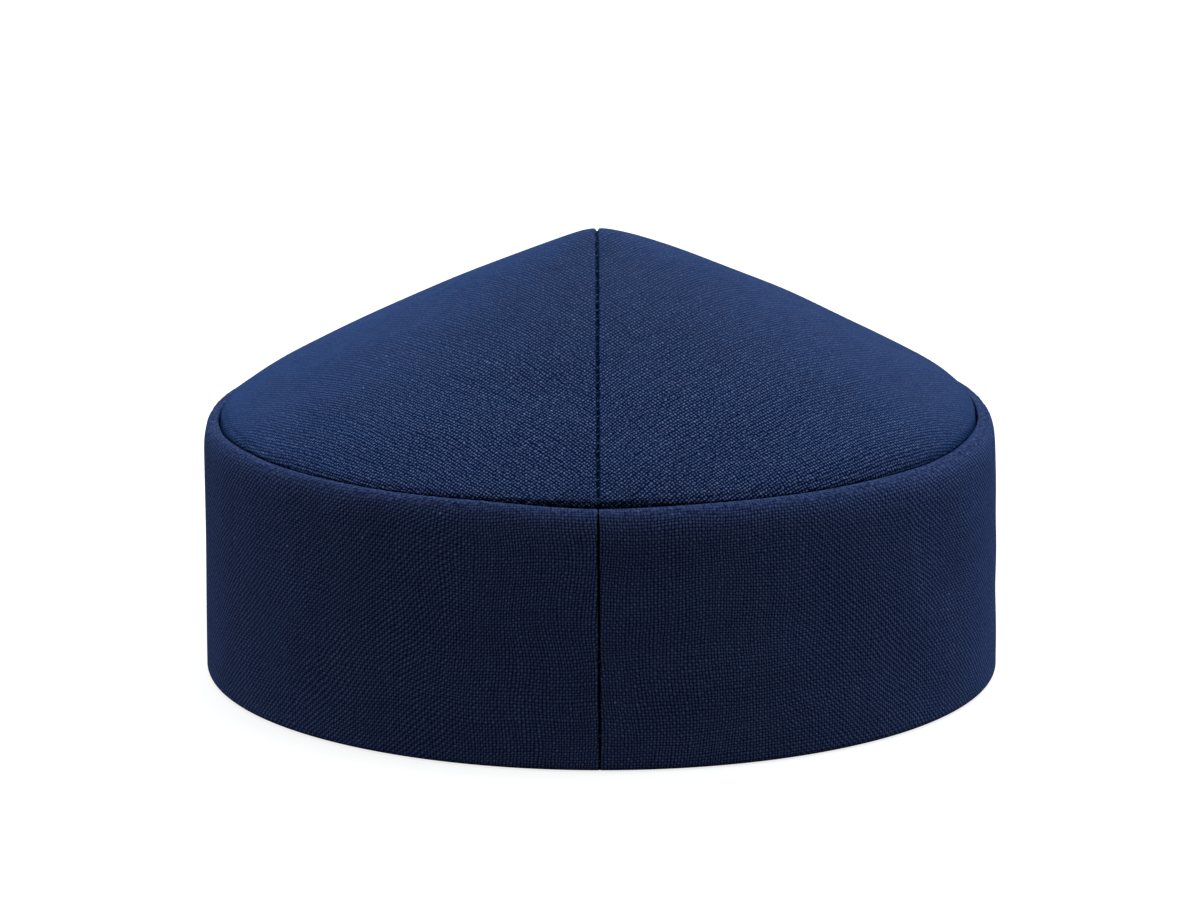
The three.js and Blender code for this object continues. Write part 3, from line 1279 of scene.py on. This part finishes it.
@dataclass
class Stitching:
    """Sewing thread that crosses a seam at even steps.

    Attributes:
        pitch: Spacing of the stitches along their run.
        width: How far each reaches across it.
        thickness: The thread's radius.
        jitter: How unevenly deep the stitches lie.
        slant: How far the stitches lean along the run, in radians.
        seed: Picks the unevenness.
    """

    pitch: float = 2.9 * MM
    width: float = 0.9 * MM
    thickness: float = 0.12 * MM
    jitter: float = 0.5 * MM
    slant: float = 0.5
    seed: int = 4

    def build(self, kind: RunKind, runs: Runs, material: bpy.types.Material) -> bpy.types.Object:
        """Makes one piece of all the stitches along some runs.

        Args:
            kind: Which run of stitches it is.
            runs: For each run, its points and the outward direction at each.
            material: The thread's finish.

        Returns:
            The piece.
        """
        path = self._path(kind.value, runs)
        modifier = path.modifiers.new("stitches", "NODES")
        modifier.node_group = self._tree(kind.value)
        settings = {name.title(): size for name, size in vars(self).items()} | {"Thread": material}
        for item in modifier.node_group.interface.items_tree:
            if item.name in settings:
                modifier[item.identifier] = settings[item.name]
        evaluated = path.evaluated_get(bpy.context.evaluated_depsgraph_get())
        mesh = bpy.data.meshes.new_from_object(evaluated)
        mesh.name = kind.value
        path.modifiers.clear()
        guide = path.data
        bpy.data.objects.remove(path)
        bpy.data.meshes.remove(guide)
        made = link(kind.value, mesh)
        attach(made, BODY)
        return made

    @staticmethod
    def _path(name: str, runs: Runs) -> bpy.types.Object:
        """Makes the lines that the stitches follow.

        Args:
            name: The path's name.
            runs: For each run, its points and the outward direction at each.

        Returns:
            An object of edges that carry their outward directions.
        """
        points, outward = (np.concatenate(part) for part in zip(*runs))
        edges = []
        start = 0
        for run, _ in runs:
            edges += [(start + i, start + i + 1) for i in range(len(run) - 1)]
            start += len(run)
        mesh = bpy.data.meshes.new(f"{name}_path")
        mesh.from_pydata(points.tolist(), edges, [])
        layer = mesh.attributes.new(OUTWARD_ATTRIBUTE, "FLOAT_VECTOR", "POINT")
        layer.data.foreach_set("vector", outward.astype(np.float32).ravel())
        return link(f"{name}_path", mesh)

    @staticmethod
    def _tree(name: str) -> bpy.types.NodeTree:
        """Writes the tree that lays stitches along a path.

        Args:
            name: The tree's name.

        Returns:
            The tree, with the sizes as named inputs.
        """
        tree = bpy.data.node_groups.new(name, "GeometryNodeTree")
        sizes = dict.fromkeys(("Pitch", "Width", "Thickness", "Jitter", "Slant"), "Float")
        kinds = {"Path": "Geometry", **sizes, "Seed": "Int", "Thread": "Material"}
        for title, kind in kinds.items():
            tree.interface.new_socket(name=title, in_out="INPUT", socket_type=f"NodeSocket{kind}")
        made = {"in_out": "OUTPUT", "socket_type": "NodeSocketGeometry"}
        tree.interface.new_socket(name="Stitches", **made)
        graph = Graph(tree)
        given = graph.node("NodeGroupInput").outputs
        sized = (Signal(graph, given[title]) for title in ("Width", "Jitter", "Slant"))
        width, jitter, slant = sized
        half_width = width * 0.5

        def chance(low: Signal, high: Signal) -> bpy.types.NodeSocket:
            """A random number for each stitch."""
            values = {"Min_001": low, "Max_001": high, "Seed": given["Seed"]}
            return graph.node("FunctionNodeRandomValue", values, data_type="FLOAT").outputs[1]

        curve = graph.node("GeometryNodeMeshToCurve", {"Mesh": given["Path"]})
        values = {"Curve": curve, "Length": given["Pitch"]}
        evened = graph.node("GeometryNodeResampleCurve", values, mode="LENGTH")
        values = {"Name": OUTWARD_ATTRIBUTE}
        outward = graph.node("GeometryNodeInputNamedAttribute", values, data_type="FLOAT_VECTOR")
        lift = graph.scaled(outward, Signal(graph, chance(jitter * -1.0, jitter)))
        moved = graph.node("GeometryNodeSetPosition", {"Geometry": evened, "Offset": lift})
        drop = half_width * STITCH_BOW
        values = {
            "Resolution": 6,
            "Start": graph.vector(x=half_width * -1.0, z=drop * -1.0),
            "Middle": graph.vector(z=drop),
            "End": graph.vector(x=half_width, z=drop * -1.0),
        }
        rung = graph.node("GeometryNodeCurveQuadraticBezier", values)
        values = {"Resolution": 8, "Radius": given["Thickness"]}
        ply = graph.node("GeometryNodeCurvePrimitiveCircle", values)
        values = {"Curve": rung, "Profile Curve": ply, "Fill Caps": True}
        tube = graph.node("GeometryNodeCurveToMesh", values)
        values = {"Primary Axis": graph.node("GeometryNodeInputTangent"), "Secondary Axis": outward}
        axes = {"primary_axis": "Y", "secondary_axis": "Z"}
        facing = graph.node("FunctionNodeAxesToRotation", values, **axes)
        twist = graph.vector(z=Signal(graph, chance(*(slant * share for share in STITCH_LEAN))))
        values = {"Rotation": facing, "Rotate By": twist}
        turned = graph.node("FunctionNodeRotateRotation", values, rotation_space="LOCAL")
        values = {"Points": moved, "Instance": tube, "Rotation": turned}
        placed = graph.node("GeometryNodeInstanceOnPoints", values)
        real = graph.node("GeometryNodeRealizeInstances", {"Geometry": placed})
        values = {"Geometry": real, "Material": given["Thread"]}
        graph.node("NodeGroupOutput", {"Stitches": graph.node("GeometryNodeSetMaterial", values)})
        return tree


@dataclass
class Kufi:
    """The whole hat, with where the stitches start and stop and how deep they lie in the seams."""

    band: Band
    crown: Crown
    thread: SewingThread
    stitching: Stitching
    crown_sink: float = 1 * MM
    band_sink: float = 0.8 * MM
    point_gap: float = 4 * MM
    edge_gap: float = 1 * MM
    rim_gap: float = 2.5 * MM
    lip_gap: float = 9 * MM
    run_points: int = 30

    def build(self) -> None:
        """Makes and dresses every piece."""
        band_cloth = self.band.finish.build()
        crown_cloth = self.crown.finish.build()
        band_pieces = []
        for half in Half:
            piece = self.band.build(half)
            self.band.dress(piece, half, band_cloth)
            band_pieces.append(piece)
            report(piece)
        for half in Half:
            piece = self.crown.build(half)
            self.crown.dress(piece, half, crown_cloth, band_pieces)
            report(piece)
        thread = self.thread.build()
        report(self.stitching.build(RunKind.CROWN_SEAM, self._crown_runs(), thread))
        report(self.stitching.build(RunKind.BAND_SEAM, self._band_runs(), thread))

    def _crown_runs(self) -> Runs:
        """The lines of the crown's seam.

        Returns:
            For its front and its back, the points and the outward directions.
        """
        radii, heights, _ = self.crown.outline()
        normals = outline_normals(radii, heights, closed=False)
        sewn = (heights > self.crown.edge(heights) + self.edge_gap) & (radii > self.point_gap)
        radii, heights, normals = radii[sewn], heights[sewn], normals[sewn]
        radii = radii - self.crown_sink * normals[:, 0]
        heights = heights - self.crown_sink * normals[:, 1]
        outward = np.stack([np.zeros(len(radii)), *normals.T], axis=1)
        return [(self._in_seam(way * radii, heights), outward * [1, way, 1]) for way in (-1, 1)]

    def _band_runs(self) -> Runs:
        """The lines of the band's seams.

        Returns:
            For its front and its back, the points and the outward directions.
        """
        standing = self.band.standing
        heights = np.linspace(self.rim_gap, standing.lip.height - self.lip_gap, self.run_points)
        along = np.full(len(heights), standing.radius - self.band_sink)
        outward = np.tile([0.0, 1.0, 0.0], (len(heights), 1))
        return [(self._in_seam(way * along, heights), way * outward) for way in (-1, 1)]

    def _in_seam(self, along: np.ndarray, heights: np.ndarray) -> np.ndarray:
        """Points in the plane of the seams."""
        return self.band.standing.place(Half.RIGHT, np.zeros(len(along)), along, heights)


def report(piece: bpy.types.Object) -> None:
    """Writes a piece's name and triangle count to the log."""
    triangles = sum(len(face.vertices) - 2 for face in piece.data.polygons)
    log.info("%s: %d triangles", piece.name, triangles)


@dataclass
class Studio:
    """A plain pale floor, soft light from above, and the camera.

    Attributes:
        aim: The point that the camera looks at.
        elevation: How high the camera stands over the floor, in degrees.
        distance: How far it stands from the aim.
        lens: Its focal length, in millimetres.
        floor_flat: How much of the floor is flat, before its edges turn up behind the view.
        sky: How bright the room is above, and ground below.
        slant: How much brighter it is on the right, and front_fall at the back.
    """

    aim: tuple[float, float, float] = (-0.0002, 0.0, 0.0533)
    elevation: float = 14.4
    distance: float = 3.0
    lens: float = 374.7
    floor_size: float = 18.0
    floor_flat: float = 0.75
    floor_drop: float = 0.2 * MM
    floor_rise: float = 0.6
    floor_glow: float = 0.8
    sky: float = 1.035
    ground: float = 0.12
    slant: float = -0.03
    front_fall: float = 0.75
    overhead: float = 31.0
    overhead_place: tuple[float, float, float] = (0.3, 0.35, 1.5)
    overhead_size: tuple[float, float] = (1.6, 1.2)
    overhead_colour: tuple[float, float, float] = (0.75, 0.92, 1.0)

    def build(self) -> None:
        """Makes the camera, the floor and the light."""
        self._camera()
        self._floor()
        self._sky()
        self._overhead()
        bpy.context.scene.view_settings.view_transform = "Standard"

    def _camera(self) -> None:
        """Stands the camera in front of the hat, looking down a little."""
        camera = link("camera", bpy.data.cameras.new("camera"))
        camera.data.lens = self.lens
        camera.data.sensor_width = 36
        camera.data.clip_end = self.floor_size
        rise = math.radians(self.elevation)
        back = Vector((0, -math.cos(rise), math.sin(rise)))
        camera.location = Vector(self.aim) + back * self.distance
        camera.rotation_euler = (QUARTER - rise, 0, 0)
        bpy.context.scene.camera = camera

    def _floor(self) -> None:
        """Lays a wide pale floor just under the hat, its far edges turned up behind the view."""
        half = self.floor_size / 2
        rings = ((self.floor_flat * half, -self.floor_drop), (half, self.floor_rise))
        ways = ((-1, -1), (1, -1), (1, 1), (-1, 1))
        corners = [(x * reach, y * reach, z) for reach, z in rings for x, y in ways]
        edges = [(i + 4, (i + 1) % 4 + 4, (i + 1) % 4, i) for i in range(4)]
        mesh = bpy.data.meshes.new("floor")
        mesh.from_pydata(corners, [], [(0, 1, 2, 3), *edges])
        floor = link("floor", mesh)
        material, graph = new_material("pale_floor")
        values = {
            "Base Color": (0.3, 0.3, 0.3, 1),
            "Roughness": 1.0,
            "Specular IOR Level": 0.0,
            "Emission Color": (1, 1, 1, 1),
            "Emission Strength": self.floor_glow,
        }
        graph.finish(graph.node("ShaderNodeBsdfPrincipled", values))
        mesh.materials.append(material)
        floor.visible_diffuse = False
        floor.visible_glossy = False

    def _sky(self) -> None:
        """Lights the hat from all round, more from above than from below."""
        world = bpy.data.worlds.new("soft_room")
        bpy.context.scene.world = world
        world.use_nodes = True
        graph = Graph(world.node_tree)
        x, y, z = graph.parts(graph.node("ShaderNodeTexCoord").outputs["Generated"])
        sides = x * self.slant + y * self.front_fall
        strength = z.ease(-0.1, 0.3).between(self.ground, self.sky) * (sides + 1)
        background = graph.node("ShaderNodeBackground", {"Strength": strength})
        graph.node("ShaderNodeOutputWorld", {"Surface": background})

    def _overhead(self) -> None:
        """Hangs a soft rectangular light over the hat and turns it to face it."""
        light = bpy.data.lights.new("overhead", "AREA")
        light.shape = "RECTANGLE"
        light.size, light.size_y = self.overhead_size
        light.energy = self.overhead
        light.color = self.overhead_colour
        made = link("overhead", light)
        made.location = self.overhead_place
        towards = Vector(self.aim) - Vector(self.overhead_place)
        made.rotation_euler = towards.to_track_quat("-Z", "Y").to_euler()


LIP_HEIGHT = 62.7 * MM
PACKED_GAP = 0.3 * MM

LIP = (
    LipRow(0, -0.1, -0.1),
    LipRow(18, 0.8, 0.3),
    LipRow(40, 0.4, 0.1),
    LipRow(62, -0.1, -0.5),
    LipRow(90, -1.4, -0.2),
    LipRow(135, -1.4, -0.3),
    LipRow(180, -0.6, -0.6),
)

SLOPE = (
    SlopeRow(0, 107.9, 0),
    SlopeRow(5, 106.8, 0.3),
    SlopeRow(14, 103.1, 1.0),
    SlopeRow(30, 95.8, 1.7),
    SlopeRow(50, 86.2, 1.8),
    SlopeRow(68, 76.8, 1.6),
    SlopeRow(80, 70.0, 1.6),
    SlopeRow(86, 66.2, 1.8),
    SlopeRow(89.2, 63.9, 1.4),
)

CROWN_ROLL = SeamRoll(
    offsets=(0, 0.1, 0.2, 0.28, 0.35, 0.41, 0.48, 0.58, 0.75, 1.1),
    depths=(1.6, 1.5, 1.3, 1.05, 0.75, 0.48, 0.28, 0.14, 0.05, 0),
)

BAND_ROLL = SeamRoll(
    offsets=(0, 0.1, 0.18, 0.25, 0.32, 0.4, 0.52, 0.75, 1.1),
    depths=(0.85, 0.8, 0.64, 0.45, 0.27, 0.14, 0.06, 0.02, 0),
)

# Threads' tops carry a painted highlight; the gap colours are painted shade between threads.
NAVY_AND_THREAD_HIGHLIGHT: Colour = (0.059, 0.083, 0.156, 1)
OTHER_NAVY_AND_THREAD_HIGHLIGHT: Colour = (0.063, 0.08, 0.147, 1)
GAP_SHADE_NAVY: Colour = (0.0006, 0.002, 0.016, 1)
BAND_GAP_SHADE_NAVY: Colour = (0.002, 0.0075, 0.045, 1)
THREAD_GREY: Colour = (0.04, 0.052, 0.094, 1)
SEAM_SHADOW: Colour = (0.0006, 0.0008, 0.0015, 1)


def main() -> None:
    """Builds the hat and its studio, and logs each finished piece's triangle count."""
    logging.basicConfig(level=logging.INFO, format="%(name)s: %(message)s")
    Studio().build()
    standing = Standing.from_frame(PACKED_GAP, Lip(LIP_HEIGHT, LIP))
    band_cloth = WovenCloth(
        "band_cloth",
        NAVY_AND_THREAD_HIGHLIGHT,
        OTHER_NAVY_AND_THREAD_HIGHLIGHT,
        BAND_GAP_SHADE_NAVY,
        (0.756 * MM, 0.716 * MM),
        seed=20.0,
        rise=(0.34, 0.5),
        clear=0.42,
        wander=0.9,
        jostle=Vary(0.8, 0.5),
        drift=Vary(0.035, 5.0),
        uneven=0.12,
        twist=0.24,
        sheen=0.15,
        sheen_tint=(0.1, 0.25, 0.88, 1),
        blotches=Vary(0.75, 3.4),
    )
    crown_pitch = (0.82 * MM, 0.82 * MM)
    crown_cloth = WovenCloth("crown_cloth", NAVY_AND_THREAD_HIGHLIGHT, OTHER_NAVY_AND_THREAD_HIGHLIGHT, GAP_SHADE_NAVY, crown_pitch, seed=50.0)
    kufi = Kufi(
        Band(standing, BAND_ROLL, band_cloth),
        Crown(standing, SLOPE, CROWN_ROLL, crown_cloth),
        SewingThread("sewing_thread", THREAD_GREY),
        Stitching(),
    )
    kufi.build()


if __name__ == "__main__":
    main()
